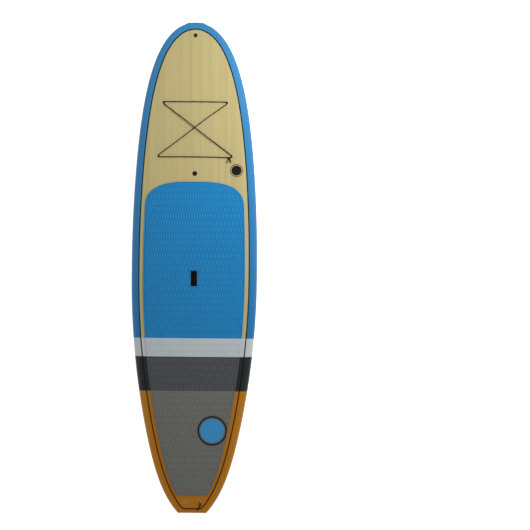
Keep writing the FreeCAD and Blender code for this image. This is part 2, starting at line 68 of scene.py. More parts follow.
# Cords and plugs
BUNGEE, BUNGEE_LENGTH = 6.0, 2125.0
STRING, STRING_THROUGH_LENGTH, STRING_LOOP_LENGTH = 3.6, 64.0, 86.0
CORD_SIDES, TIP_SHARE = 14, 0.45            # of a cord's tube, and how thin its tip is
SPLINE_RESOLUTION, KNOT_POINTS, KNOT_STRAND = 16, 73, 0.46
FRONT_PLUG, REAR_PLUG, TAIL_PLUG = (206.0, 1083.0), (238.0, 735.0), (45.0, -1521.0)


# How far apart points stand along a loop or across a sheet
OUTLINE_STEP, OPENING_STEP, LINE_STEP = 18, 12, 22
FLOOR_STEP, UNDERSIDE_STEP, DISC_STEP = 26, 40, 14
DISC_SECTORS = 72


# ---------------------------------------------------------------- hull shape

def half_width(y):
    """Half of the board's width at y, as in the part."""
    if y >= 0:
        t = min(y / HALF, 1.0)
        return WIDTH / 2 * math.sqrt(max(0.0, 1 - 0.67 * t**2 - 0.31 * t**6 - 0.02 * t**20))
    s = max(0.0, (WIDE_POINT - y) / (HALF + WIDE_POINT))
    narrowing = 1 - TAIL_CORNER
    return WIDTH / 2 * (1 - 0.76 * narrowing * s**2 - 0.24 * narrowing * s**12)


def section(x, y):
    """(edge height, height above it, depth below it) of the hull at x, y."""
    if y >= 0:
        bottom = NOSE_ROCKER * (y / HALF) ** 2.6
        thick = THICKNESS - (THICKNESS - NOSE_THICKNESS) * (y / HALF) ** 2.8
    else:
        rise = max(0.0, (TAIL_ROCKER_START - y) / (HALF + TAIL_ROCKER_START))
        bottom = TAIL_ROCKER * rise**2.4
        thick = THICKNESS - (THICKNESS - TAIL_THICKNESS) * (-y / HALF) ** 2.6
    radius = NOSE_EDGE_RADIUS if y > 0 else TAIL_EDGE_RADIUS
    inboard = min(1.0, (HALF - abs(y)) / radius)
    squash = math.sqrt(1 - (1 - inboard) ** 2)
    above = ABOVE_EDGE * thick
    below = thick - above
    across = min(1.0, abs(x) / half_width(y))
    edge_above = above * (1 - CROWN) * squash
    power = 2 * RAIL_ROUNDNESS * half_width(y) / edge_above
    power_below = power * (edge_above / (below * squash)) ** 2
    up = squash * above * (1 - CROWN * across**2) * math.sqrt(1 - across**power)
    down = squash * below * math.sqrt(1 - across**power_below)
    return bottom + below, up, down


def deck_height(x, y):
    edge, up, _ = section(x, y)
    return edge + up


def bottom_height(x, y):
    edge, _, down = section(x, y)
    return edge - down


def deck_frame(x, y):
    """(origin, right, forward, normal) of the deck at x, y."""
    forward = Vector((0, 2, deck_height(x, y + 1) - deck_height(x, y - 1))).normalized()
    side = Vector((2, 0, deck_height(x + 1, y) - deck_height(x - 1, y)))
    normal = side.cross(forward).normalized()
    return Vector((x, y, deck_height(x, y))), forward.cross(normal), forward, normal


def on_deck(place, x, y, z):
    origin, right, forward, normal = place
    return origin + right * x + forward * y + normal * z


# ---------------------------------------------------------------- outlines

def inset_point(y, inset):
    """The point that far inside the outline, measured square to it."""
    slope = (half_width(y - 0.01) - half_width(y + 0.01)) / 0.02 if y < HALF - 0.01 else 1e6
    length = math.hypot(1.0, slope)
    return Vector((half_width(y) - inset / length, y - inset * slope / length))


def inset_side(inset, ends, front, rear, count):
    first = math.sqrt(max(0.0, 1 - front / HALF))
    last = math.sqrt(max(0.0, 1 - rear / HALF))
    ys = [HALF * (1 - (first + (last - first) * i / count) ** 2) for i in range(count + 1)]
    return [inset_point(y, inset - ends * (y / HALF) ** 4) for y in ys]


def closed_outline(starboard):
    """A whole outline, clockwise from the nose, from its starboard half."""
    return starboard + [Vector((-p.x, p.y)) for p in reversed(starboard) if p.x > 1e-6]


def pin_outline():
    side = inset_side(PIN_INSET, PIN_INSET_ENDS, HALF, PIN_CORNER_START, 90)
    side[0] = Vector((0.0, HALF - PIN_INSET + PIN_INSET_ENDS))
    heading = (side[-1] - side[-2]).normalized()
    corner = side[-1] + heading * ((PIN_TAIL_Y - side[-1].y) / heading.y)
    straight = Vector((PIN_TAIL_HALF, PIN_TAIL_Y))
    start = side[-1]
    turn = []
    for i in range(1, 11):
        t = i / 10
        turn.append(start * (1 - t) ** 2 + corner * 2 * t * (1 - t) + straight * t**2)
    run = [Vector((PIN_TAIL_HALF * (1 - i / 4), PIN_TAIL_Y)) for i in range(1, 5)]
    return closed_outline(side + turn + run)


def pad_outline():
    centre = PAD_FRONT - PAD_CORNER
    side = inset_side(PAD_INSET, PAD_INSET_ENDS, centre, PAD_REAR, 60)
    front = []
    for i in range(24):
        angle = math.pi / 2 * (1 - i / 24)
        x = side[0].x * math.cos(angle) ** (2 / 3)
        front.append(Vector((x, centre + PAD_CORNER * math.sin(angle) ** (2 / 3))))
    front[0] = Vector((0.0, PAD_FRONT))
    return closed_outline(front + side)


def clip(polygon, point, inward):
    """A convex or simple polygon cut by a line: what lies on the inward side stays."""
    kept = []
    for a, b in zip(polygon, polygon[1:] + polygon[:1]):
        da, db = (a - point).dot(inward), (b - point).dot(inward)
        if da >= 0:
            kept.append(a)
        if (da >= 0) != (db >= 0):
            kept.append(a + (b - a) * (da / (da - db)))
    return kept


def shrunk(loop, inset):
    """A closed clockwise loop moved inwards, by its corners' bisectors."""
    moved = []
    count = len(loop)
    for i in range(count):
        before = (loop[i] - loop[i - 1]).normalized()
        after = (loop[(i + 1) % count] - loop[i]).normalized()
        first = Vector((before.y, -before.x))
        second = Vector((after.y, -after.x))
        bisector = (first + second).normalized()
        moved.append(loop[i] + bisector * (inset / max(0.35, bisector.dot(first))))
    return moved


# ---------------------------------------------------------------- meshes

def add_object(name, points, faces, materials, face_materials=None, smooth_angle=0.5):
    """A mesh object from points in millimetres, riding on the hull."""
    mesh = bpy.data.meshes.new(name)
    mesh.from_pydata([Vector(p) * MM for p in points], [], faces)
    mesh.validate()
    mesh.update()
    for material in materials:
        mesh.materials.append(material)
    if face_materials:
        mesh.polygons.foreach_set("material_index", face_materials)
    mesh.shade_smooth()
    mesh.set_sharp_from_angle(angle=smooth_angle)
    made = bpy.data.objects.new(name, mesh)
    bpy.context.scene.collection.objects.link(made)
    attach(made, HULL)
    return made


def densified(loop, step):
    """The same closed loop with no edge longer than step, so that it can follow the deck."""
    points = []
    for a, b in zip(loop, loop[1:] + loop[:1]):
        parts = max(1, math.ceil((b - a).length / step))
        points += [a + (b - a) * (i / parts) for i in range(parts)]
    return points


def filled(loops, step):
    """Plan points and triangles that fill the first loop around the others."""
    outer = loops[0]
    points = [p for loop in loops for p in loop]
    rings, start = [], 0
    for loop in loops:
        rings.append(list(range(start, start + len(loop))))
        start += len(loop)
    low_x, high_x = min(p.x for p in outer), max(p.x for p in outer)
    low_y, high_y = min(p.y for p in outer), max(p.y for p in outer)
    columns = math.ceil((high_x - low_x) / step)
    rows = math.ceil((high_y - low_y) / step)
    for row in range(1, rows):
        for column in range(columns):
            x = low_x + (high_x - low_x) * (column + 0.25 + 0.5 * (row % 2)) / columns
            y = low_y + (high_y - low_y) * row / rows
            points.append(Vector((x, y)))
    made, _, triangles, _, _, _ = delaunay_2d_cdt(points, [], rings, 2, 1e-4)
    return made, triangles


class Shape:
    """Points, faces and each face's material, gathered for one mesh."""

    def __init__(self):
        self.points, self.faces, self.materials = [], [], []

    def add_points(self, points):
        start = len(self.points)
        self.points += points
        return list(range(start, start + len(points)))

    def add_face(self, face, material=0):
        self.faces.append(face)
        self.materials.append(material)

    def bridge(self, ring, next_ring, material=0):
        """Quads between two closed rings of the same length, seen from outside if they turn left."""
        count = len(ring)
        for i in range(count):
            j = (i + 1) % count
            self.add_face((ring[i], ring[j], next_ring[j], next_ring[i]), material)

    def object(self, name, slot, materials, smooth_angle=0.5):
        return add_object(name, self.points, self.faces, materials, self.materials, smooth_angle)


def raised(loop, height):
    """A plan loop lifted to that height over the deck."""
    return [(p.x, p.y, deck_height(p.x, p.y) + height) for p in loop]


# ---------------------------------------------------------------- deck pad

PAD_TOP = 5.0
PAD_EDGE = ((0.0, 0.05), (0.0, 4.2), (0.8, PAD_TOP), (5.0, PAD_TOP), (5.6, 3.5))   # inset, height
SHORTEST_EDGE = 1.5
BAR_PITCH, BAR_ROW = 17.2, 43.0
BAR_HALF, BAR_SHOULDER, BAR_TIP = 6.1, 16.5, 24.0
BAR_BORDER, BAR_SEAM = 9.0, 1.4
BAR_FOOT, BAR_RIM, BAR_BEVEL = 3.3, 4.5, 0.6
LEAST_BAR, LEAST_BAR_EDGE = 60, 1.2         # the smallest area and edge worth a bar
ROUNDEL = Vector((129.0, -1056.0))
ROUNDEL_RADIUS = 96.0
ROUNDEL_REACH, ROUNDEL_GAP = 4, 5           # how near a bar is trimmed, and where


def add_bar(shape, polygon):
    """One raised bar: sides from the groove's floor, a small bevel and a flat top."""
    area = sum(a.x * b.y - b.x * a.y for a, b in zip(polygon, polygon[1:] + polygon[:1])) / 2
    if len(polygon) < 3 or abs(area) < LEAST_BAR:
        return
    loop = polygon if area < 0 else polygon[::-1]
    loop = [p for i, p in enumerate(loop) if (p - loop[i - 1]).length > LEAST_BAR_EDGE]
    if len(loop) < 3:
        return
    rings = [shape.add_points(raised(loop, height)) for height in (BAR_FOOT, BAR_RIM)]
    rings.append(shape.add_points(raised(shrunk(loop, BAR_BEVEL), PAD_TOP)))
    shape.bridge(rings[1], rings[0], 1)
    shape.bridge(rings[2], rings[1], 1)
    shape.add_face(tuple(reversed(rings[2])), 1)


def bar_limits(front, rear):
    """(point, inward direction) of each line that trims the bars of a sheet."""
    outline = densified(pad_outline(), OUTLINE_STEP)
    limits = [
        (Vector((0, front - BAR_SEAM)), Vector((0, -1))),
        (Vector((0, rear + BAR_SEAM)), Vector((0, 1))),
    ]
    for a, b in zip(outline, outline[1:] + outline[:1]):
        along = (b - a).normalized()
        inward = Vector((along.y, -along.x))
        limits.append(((a + b) / 2 + inward * BAR_BORDER, inward))
    return limits


def bar_polygon(x, y, limits):
    """A long hexagon at x, y, trimmed to the sheet, to the handle and to the roundel."""
    polygon = [Vector((x + sx, y + sy)) for sx, sy in (
        (0, BAR_TIP), (BAR_HALF, BAR_SHOULDER), (BAR_HALF, -BAR_SHOULDER),
        (0, -BAR_TIP), (-BAR_HALF, -BAR_SHOULDER), (-BAR_HALF, BAR_SHOULDER))]
    for point, inward in limits:
        inside = (Vector((x, y)) - point).dot(inward)
        if inside < -BAR_TIP or len(polygon) < 3:
            return []
        if inside < BAR_TIP:
            polygon = clip(polygon, point, inward)
    low, half, high = HANDLE[1] - BAR_BORDER, HANDLE[2] + BAR_BORDER, HANDLE[3] + BAR_BORDER
    if low < y + BAR_TIP and y - BAR_TIP < high and abs(x) < half + BAR_HALF:
        if HANDLE[1] < y < HANDLE[3]:
            side = 1 if x > 0 else -1
            polygon = clip(polygon, Vector((side * half, y)), Vector((side, 0)))
        elif y > (low + high) / 2:
            polygon = clip(polygon, Vector((x, high)), Vector((0, 1)))
        else:
            polygon = clip(polygon, Vector((x, low)), Vector((0, -1)))
    away = Vector((x, y)) - ROUNDEL
    if away.length < ROUNDEL_RADIUS + BAR_TIP + ROUNDEL_REACH:
        out = away.normalized()
        polygon = clip(polygon, ROUNDEL + out * (ROUNDEL_RADIUS + ROUNDEL_GAP), out)
    return polygon


def pad_sheet(name, front, rear, materials, slot):
    """One die-cut foam sheet: bevelled rim, groove floor, raised bars and underside."""
    outline = clip(pad_outline(), Vector((0, front)), Vector((0, -1)))
    outline = clip(outline, Vector((0, rear)), Vector((0, 1)))
    outline = [p for i, p in enumerate(outline) if (p - outline[i - 1]).length > SHORTEST_EDGE]
    outline = densified(outline, OUTLINE_STEP)
    low_x, low_y, high_x, high_y = HANDLE
    with_handle = rear < low_y and high_y < front
    corners = ((low_x, low_y), (high_x, low_y), (high_x, high_y), (low_x, high_y))
    hole = densified([Vector(c) for c in corners], OPENING_STEP)
    shape = Shape()
    outer_rings, hole_rings, inner_loops = [], [], []
    for inset, height in PAD_EDGE:
        loop = shrunk(outline, inset)
        outer_rings.append(shape.add_points(raised(loop, height)))
        hole_loop = shrunk(hole, inset)
        if with_handle:
            hole_rings.append(shape.add_points(raised(hole_loop, height)))
        inner_loops = [loop, hole_loop] if with_handle else [loop]
    # The rim's bevel, flat top and slope into the grooves take the top foam; the outer side, the groove floor
    # and the underside take the groove copy, darkened as painted shade.
    for rings in (outer_rings, hole_rings):
        for level, (low, high) in enumerate(zip(rings[:-1], rings[1:])):
            shape.bridge(high, low, 1 if level in (1, 2, 3) else 0)
    plan, triangles = filled(inner_loops, FLOOR_STEP)
    floor = shape.add_points(raised(plan, PAD_EDGE[-1][1]))
    for triangle in triangles:
        shape.add_face(tuple(floor[i] for i in triangle))
    plan, triangles = filled([outline, hole] if with_handle else [outline], UNDERSIDE_STEP)
    under = shape.add_points(raised(plan, PAD_EDGE[0][1]))
    for triangle in triangles:
        shape.add_face(tuple(under[i] for i in reversed(triangle)))
    limits = bar_limits(front, rear)
    widest = max(p.x for p in outline)
    reach = math.ceil(widest / BAR_PITCH) + 1
    for row in range(math.floor(rear / BAR_ROW) - 1, math.floor(front / BAR_ROW) + 2):
        for column in range(-reach, reach + 1):
            x = (column + 0.5 * (row % 2)) * BAR_PITCH
            add_bar(shape, bar_polygon(x, row * BAR_ROW, limits))
    made = shape.object(name, slot, materials)
    return made


# ---------------------------------------------------------------- flat graphics

def disc(name, centre, rings, height, surface, slot, materials):
    """Concentric bands on the hull: each is (outer radius, inner radius, material), with thickness."""
    shape = Shape()
    up = 1 if surface is deck_height else -1
    turn = range(DISC_SECTORS)[::up]

    def ring(radius, lift):
        points = []
        for i in turn:
            angle = 2 * math.pi * i / DISC_SECTORS
            x = centre[0] + radius * math.cos(angle)
            y = centre[1] + radius * math.sin(angle)
            points.append((x, y, surface(x, y) + up * lift))
        return shape.add_points(points)

    for outer, inner, material in rings:
        steps = max(1, math.ceil((outer - inner) / DISC_STEP))
        low = ring(outer, height[0])
        previous = ring(outer, height[1])
        shape.bridge(low, previous, material)
        for step in range(1, steps + 1):
            radius = outer + (inner - outer) * step / steps
            if radius < 0.5:
                middle = shape.add_points([(*centre, surface(*centre) + up * height[1])])[0]
                for a, b in zip(previous, previous[1:] + previous[:1]):
                    shape.add_face((a, b, middle), material)
            else:
                current = ring(radius, height[1])
                shape.bridge(previous, current, material)
                previous = current
        if inner > 0.5:
            shape.bridge(previous, ring(inner, height[0]), material)
    return shape.object(name, slot, materials)


def pin_line(name, surface, gaps, material):
    """The painted line as a thin raised strip, left out where a side fin box interrupts it."""
    loop = densified(pin_outline(), LINE_STEP)
    outer = shrunk(loop, -PIN_WIDTH / 2)
    inner = shrunk(loop, PIN_WIDTH / 2)
    up = 1 if surface is deck_height else -1
    shape = Shape()
    rows = []
    for middle, a, b in zip(loop, outer, inner):
        row = []
        for p, lift in ((a, FILM[0]), (a, FILM[1]), (b, FILM[1]), (b, FILM[0])):
            row.append((p.x, p.y, surface(p.x, p.y) + up * lift))
        rows.append((middle, shape.add_points(row)))
    for (first, a), (second, b) in zip(rows, rows[1:] + rows[:1]):
        middle = (first + second) / 2
        if any(low < middle.y < high for low, high in gaps):
            continue
        for i in range(3):
            face = (a[i], b[i], b[i + 1], a[i + 1])
            shape.add_face(face if up < 0 else face[::-1])
    return shape.object(name, "rail_paint", [material])


# ---------------------------------------------------------------- cords

# Routes are x, y and the gap under the cord, as in the part.
BUNGEE_REAR = ((217, 727.5, 2.0), (188, 729, 1.6), (0, 731.5, 1.3), (-200, 730, 1.6))
BUNGEE_UNDER = ((-206, 766.5, 1.8), (-80, 860.5, 0.9), (74, 982, 0.9), (174, 1050.5, 1.8))
BUNGEE_FRONT = ((168, 1087.5, 1.6), (0, 1088.5, 1.3), (-168, 1087.5, 1.6))
BUNGEE_OVER = ((-176, 1052.5, 2.6), (-48, 958.5, 8.2), (46, 885, 8.2), (206, 766.5, 2.6))
BUNGEE_END = ((229, 726, 3.4),)
BUNGEE_KNOT = (224.0, 726.5, 3.6)
BUNGEE_TAILS = ((208.0, 696.0), (234.0, 695.0))
BUNGEE_DIP = (5.4, 10.8, 5.2)               # spread, depth, top
STRING_OUT = ((54.5, -1535, 2.2), (47, -1527, 4.0))
STRING_BACK = ((51, -1529, 1.8), (55.5, -1534, 2.4))
STRING_DIP = (4.4, 9.6, 3.8)
STRING_LOOP = ((51.5, -1544, 1.2), (39, -1566, 0.6), (31.5, -1579, 0.4),
               (35.5, -1582.5, 0.4), (44, -1567, 0.6), (56, -1545.5, 1.2))
STRING_KNOT = (55.5, -1539.5, 2.8)


def cord_points(route, radius):
    """The cord's middle line over the deck, from a route."""
    return [Vector((x, y, deck_height(x, y) + radius + clear)) for x, y, clear in route]


def under_pin(centre, pin_direction, sign, sizes):
    """Four points that take a cord down one side of a plug's pin and up the other."""
    spread, depth, top = sizes
    place = deck_frame(*centre)
    side = Vector((-pin_direction.y, pin_direction.x)).normalized() * sign * spread
    return [on_deck(place, side.x, side.y, top), on_deck(place, side.x, side.y, -depth),
            on_deck(place, -side.x, -side.y, -depth), on_deck(place, -side.x, -side.y, top)]


def pin_direction(at, first, second):
    """Halfway between the directions from a plug to two others."""
    return ((first - at).normalized() + (second - at).normalized()).normalized()


def bungee_route():
    """From the knot round the four plugs and back to it, crossing in the middle."""
    front = [Vector((side * FRONT_PLUG[0], FRONT_PLUG[1])) for side in (-1, 1)]
    rear = [Vector((side * REAR_PLUG[0], REAR_PLUG[1])) for side in (-1, 1)]

    def dip(at, first, second, sign):
        return under_pin(at, pin_direction(at, first, second), sign, BUNGEE_DIP)

    radius = BUNGEE / 2
    points = cord_points(BUNGEE_REAR, radius)
    points += dip(rear[0], rear[1], front[1], -1)
    points += cord_points(BUNGEE_UNDER, radius)
    points += dip(front[1], front[0], rear[0], 1)
    points += cord_points(BUNGEE_FRONT, radius)
    points += dip(front[0], front[1], rear[1], 1)
    points += cord_points(BUNGEE_OVER, radius)
    points += dip(rear[1], rear[0], front[0], -1)
    return points + cord_points(BUNGEE_END, radius)


def smooth_line(points):
    """Points along the NURBS spline whose control points are the route's."""
    curve = bpy.data.curves.new("route", "CURVE")
    curve.dimensions = "3D"
    spline = curve.splines.new("NURBS")
    spline.points.add(len(points) - 1)
    for control, p in zip(spline.points, points):
        control.co = (*p, 1.0)
    spline.order_u = 3
    spline.use_endpoint_u = True
    spline.resolution_u = SPLINE_RESOLUTION
    holder = bpy.data.objects.new("route", curve)
    mesh = bpy.data.meshes.new_from_object(holder)
    line = [v.co.copy() for v in mesh.vertices]
    bpy.data.objects.remove(holder)
    bpy.data.curves.remove(curve)
    bpy.data.meshes.remove(mesh)
    return line


def add_tube(shape, line, radius, ends=0.5):
    """A round tube along a line, its ends closed with a rounded tip. Returns (ring, run) pairs."""
    rings = []
    run = 0.0
    first, last = (line[1] - line[0]).normalized(), (line[-1] - line[-2]).normalized()
    across = first.orthogonal().normalized()
    stations = [(line[0] - first * radius * ends, TIP_SHARE), *[(p, 1.0) for p in line],
                (line[-1] + last * radius * ends, TIP_SHARE)]
    for i, (p, share) in enumerate(stations):
        ahead = stations[min(i + 1, len(stations) - 1)][0]
        behind = stations[max(i - 1, 0)][0]
        heading = (ahead - behind).normalized()
        across = (across - heading * across.dot(heading)).normalized()
        other = heading.cross(across)
        run += (p - behind).length
        ring = []
        for k in range(CORD_SIDES):
            angle = 2 * math.pi * k / CORD_SIDES
            ring.append(p + (across * math.cos(angle) + other * math.sin(angle)) * radius * share)
        rings.append((shape.add_points(ring), run))
    for (a, _), (b, _) in zip(rings[:-1], rings[1:]):
        shape.bridge(a, b)
    shape.add_face(tuple(reversed(rings[0][0])))
    shape.add_face(tuple(rings[-1][0]))
    return rings


def wind_uv(made, rings):
    """Texture coordinates of a cord: once around, and centimetres along."""
    layer = made.data.uv_layers.new(name="cord")
    places = {}
    for ring, run in rings:
        for k, index in enumerate(ring):
            places[index] = (k / len(ring), run / 10)
    for polygon in made.data.polygons:
        corners = [places[made.data.loops[i].vertex_index] for i in polygon.loop_indices]
        wraps = max(u for u, _ in corners) - min(u for u, _ in corners) > 0.5
        for i, (u, v) in zip(polygon.loop_indices, corners):
            layer.data[i].uv = (u + 1 if wraps and u < 0.5 else u, v)


def cord_object(name, points, diameter, slot, material):
    """(the cord's object, the line that it follows)"""
    line = smooth_line(points)
    shape = Shape()
    rings = add_tube(shape, line, diameter / 2)
    made = shape.object(name, slot, [material], 1.2)
    wind_uv(made, rings)
    return made, line


def knot_object(name, place, diameter, size, heading, tails, slot, material):
    """An overhand knot pulled tight, with its loose tails."""
    x, y, clear = place
    centre = Vector((x, y, deck_height(x, y) + diameter / 2 + clear))
    turn = Matrix.Rotation(math.radians(heading), 3, "Z")
    strand = diameter * KNOT_STRAND
    long, wide, high = [half - strand for half in size]
    line = []
    for i in range(KNOT_POINTS):
        t = 2 * math.pi * i / KNOT_POINTS
        local = Vector(((math.sin(t) + 2 * math.sin(2 * t)) / 3 * long,
                        (math.cos(t) - 2 * math.cos(2 * t)) / 3 * wide, -math.sin(3 * t) * high))
        line.append(centre + turn @ local)
    shape = Shape()
    rings = add_tube(shape, line + line[:2], strand, ends=0.1)
    for tip_x, tip_y in tails:
        tip = Vector((tip_x, tip_y, deck_height(tip_x, tip_y) + diameter / 2 + 0.4))
        bend = (centre + tip) / 2 + Vector((1.6, -1.0, 1.2))
        rings += add_tube(shape, smooth_line([centre, bend, tip]), diameter / 2)
    made = shape.object(name, slot, [material], 1.2)
    wind_uv(made, rings)
    return made


# ---------------------------------------------------------------- materials

def linear(colour):
    """A linear colour from its sRGB hexadecimal."""
    values = [int(colour[i:i + 2], 16) / 255 for i in (1, 3, 5)]
    return (*[v / 12.92 if v <= 0.04045 else ((v + 0.055) / 1.055) ** 2.4 for v in values], 1.0)


class Finish:
    """A material with one Principled shader, and short ways to add nodes to it."""

    def __init__(self, name, **sockets):
        self.material = bpy.data.materials.new(name)
        self.material.use_nodes = True
        self.tree = self.material.node_tree
        self.shader = self.tree.nodes["Principled BSDF"]
        for socket, value in sockets.items():
            self.shader.inputs[socket.replace("_", " ")].default_value = value
        self.place = self.node("TexCoord").outputs["Object"]
        parts = self.node("SeparateXYZ", {"Vector": self.place}).outputs
        self.x, self.y = parts["X"], parts["Y"]

    def node(self, kind, inputs=None, **settings):
        made = self.tree.nodes.new("ShaderNode" + kind)
        for name, value in settings.items():
            setattr(made, name, value)
        for name, value in (inputs or {}).items():
            self.put(made.inputs[name], value)
        return made

    def put(self, socket, value):
        """Links another node's output to the socket, or sets a plain value on it."""
        if isinstance(value, bpy.types.NodeSocket):
            self.tree.links.new(value, socket)
        else:
            socket.default_value = value

    def math(self, operation, a, b=0.0, c=0.0):
        return self.node("Math", {0: a, 1: b, 2: c}, operation=operation).outputs[0]

    def noise(self, scale, detail=3.0, roughness=0.55, place=None):
        """Noise from 0 to 1 whose cells are 1/scale metres along each axis."""
        vector = self.node("VectorMath", {0: place or self.place, 1: scale}, operation="MULTIPLY").outputs[0]
        inputs = {"Vector": vector, "Scale": 1.0, "Detail": detail, "Roughness": roughness}
        return self.node("TexNoise", inputs).outputs["Fac"]

    def around_one(self, value, amount):
        """A value from 0 to 1 as a factor from 1 - amount to 1 + amount."""
        return self.math("MULTIPLY_ADD", value, 2 * amount, 1 - amount)

    def mix(self, factor, a, b, blend="MIX"):
        """Two colours mixed. Sockets 6 and 7 are the node's colours, and output 2 its result."""
        made = self.node("Mix", {"Factor": factor}, data_type="RGBA", blend_type=blend)
        self.put(made.inputs[6], a)
        self.put(made.inputs[7], b)
        return made.outputs[2]

    def times(self, colour, *factors):
        """A colour made lighter or darker by factors around 1."""
        for factor in factors:
            scale = self.node("CombineColor", {"Red": factor, "Green": factor, "Blue": factor}).outputs[0]
            colour = self.mix(1.0, colour, scale, "MULTIPLY")
        return colour

    def zones(self, forward, white, dark, aft):
        """The colour bands across the board."""
        colour = forward
        for start, value in ((WHITE_FROM, white), (DARK_FROM, dark), (ORANGE_FROM, aft)):
            colour = self.mix(self.math("LESS_THAN", self.y, start * MM), colour, value)
        return colour

    def colour(self, colour):
        self.put(self.shader.inputs["Base Color"], colour)

    def roughness(self, value):
        self.tree.links.new(value, self.shader.inputs["Roughness"])

    def bump(self, height, distance, strength=1.0):
        made = self.node("Bump", {"Height": height, "Distance": distance, "Strength": strength})
        self.tree.links.new(made.outputs[0], self.shader.inputs["Normal"])


STRIP_WIDTH, STRIP_LENGTH, JOINT_SHARE = 0.021, 0.62, 0.006   # of the bamboo, in metres, and its joints
WHITE_PAINT = (0.51, 0.54, 0.555, 1.0)
DARK_PAINT = (0.013, 0.017, 0.019, 1.0)
ORANGE_PAINT = (0.44, 0.165, 0.003, 1.0)
# The rail blue at each end: lighter forward and darker aft, painted light and shade falling from the front.
BLUE_WITH_PAINTED_LIGHT_FORWARD = (0.038, 0.206, 0.430, 1.0)
BLUE_WITH_PAINTED_SHADE_AFT = (0.015, 0.163, 0.394, 1.0)


def veneer(name, bamboo, dark_streaks):
    """Bamboo strips under a gloss coat, painted in bands towards the tail."""
    finish = Finish(name, Coat_Weight=0.35, Coat_Roughness=0.12, Specular_IOR_Level=0.2)
    strip = finish.math("FLOOR", finish.math("DIVIDE", finish.x, STRIP_WIDTH))
    strip_tone = finish.node("TexWhiteNoise", {"W": strip}, noise_dimensions="1D").outputs["Value"]
    shifted = finish.math("ADD", finish.y, finish.math("MULTIPLY", strip_tone, 1.7))
    length = finish.math("FLOOR", finish.math("DIVIDE", shifted, STRIP_LENGTH))
    pair = finish.node("CombineXYZ", {"X": strip, "Y": length}).outputs[0]
    plank_tone = finish.node("TexWhiteNoise", {"Vector": pair}, noise_dimensions="2D").outputs["Value"]
    along = finish.math("FRACT", finish.math("DIVIDE", shifted, STRIP_LENGTH))
    joint = finish.math("LESS_THAN", along, JOINT_SHARE)
    broad = finish.noise((38.0, 1.1, 1.0), 2.0)
    grain = finish.noise((420.0, 7.0, 1.0), 4.0, 0.7)
    marks = finish.noise((150.0, 16.0, 1.0), 2.0, 0.4)
    fleck = finish.math("MULTIPLY", finish.math("GREATER_THAN", marks, 0.72), dark_streaks)
    wood = finish.times(
        bamboo, finish.around_one(strip_tone, 0.025), finish.around_one(plank_tone, 0.03),
        finish.around_one(broad, 0.10), finish.around_one(grain, 0.09),
        finish.math("SUBTRACT", 1.0, finish.math("MULTIPLY", joint, 0.10)),
        finish.math("SUBTRACT", 1.0, fleck))
    cloud = finish.around_one(finish.noise((3.0, 2.0, 3.0), 2.0), 0.05)
    stain = finish.times(ORANGE_PAINT, finish.around_one(broad, 0.08), finish.around_one(grain, 0.05), cloud)
    white = finish.times(WHITE_PAINT, finish.around_one(broad, 0.03))
    dark = finish.times(DARK_PAINT, finish.around_one(broad, 0.06))
    finish.colour(finish.zones(wood, white, dark, stain))
    finish.roughness(finish.math("MULTIPLY_ADD", grain, 0.16, 0.36))
    finish.bump(grain, 0.0004, 0.12)
    return finish.material


def rail_paint():
    """Sprayed bands around the rails, the blue lighter towards the nose and darker aft as painted light from
    the front.
    """
    finish = Finish("rail_paint", Coat_Weight=0.35, Coat_Roughness=0.1, Specular_IOR_Level=0.1)
    cloud = finish.noise((5.0, 2.4, 5.0), 3.0)
    spray = finish.noise((260.0, 260.0, 260.0), 2.0)
    tone = finish.around_one(cloud, 0.05)
    fine = finish.around_one(spray, 0.02)
    # Painted light: the blue brightens from aft towards the nose.
    painted_light_fade = finish.node("MapRange", {"Value": finish.y, "From Min": -0.4, "From Max": 1.15})
    rail_blue_with_painted_light = finish.mix(painted_light_fade.outputs["Result"], BLUE_WITH_PAINTED_SHADE_AFT, BLUE_WITH_PAINTED_LIGHT_FORWARD)
    blue, white, dark, orange = [
        finish.times(colour, tone, fine) for colour in (rail_blue_with_painted_light, WHITE_PAINT, DARK_PAINT, ORANGE_PAINT)]
    finish.colour(finish.zones(blue, white, dark, orange))
    finish.roughness(finish.math("MULTIPLY_ADD", cloud, 0.12, 0.30))
    finish.bump(finish.noise((30.0, 18.0, 30.0), 2.0), 0.0012, 0.05)
    return finish.material


def line_paint():
    """The painted line, in a darker shade of each band."""
    finish = Finish("pin_line_paint", Coat_Weight=0.35, Coat_Roughness=0.1, Roughness=0.4,
                    Specular_IOR_Level=0.1)
    tone = finish.around_one(finish.noise((20.0, 9.0, 20.0), 3.0), 0.15)
    forward, white, dark, aft = [
        finish.times(linear(c), tone) for c in ("#0c2630", "#2b3130", "#0a0b0b", "#3a1203")]
    finish.colour(finish.zones(forward, white, dark, aft))
    return finish.material


def pad_foam(name, colour, groove):
    """(groove material, top material) of closed-cell foam, finely pitted and slightly mottled; the groove
    copy is the same foam darkened as painted shade.
    """
    made = []
    # The groove copy is the top foam darkened by the groove factor: painted shade in the grooves and on the
    # pad's sides.
    for part, tone in (("groove", groove), ("top", 1.0)):
        finish = Finish(f"{name}_{part}", Specular_IOR_Level=0.25, Sheen_Weight=0.12, Sheen_Roughness=0.6)
        cells = finish.noise((900.0, 900.0, 900.0), 2.0)
        mottle = finish.noise((22.0, 12.0, 20.0), 3.0)
        wear = finish.noise((2.4, 1.6, 2.0), 3.0)
        shade = (*[v * tone for v in colour], 1.0)
        finish.colour(finish.times(shade, finish.around_one(cells, 0.10), finish.around_one(mottle, 0.06),
                                   finish.around_one(wear, 0.05)))
        finish.roughness(finish.math("MULTIPLY_ADD", cells, 0.12, 0.74))
        finish.bump(cells, 0.0005, 0.35)
        made.append(finish.material)
    return made


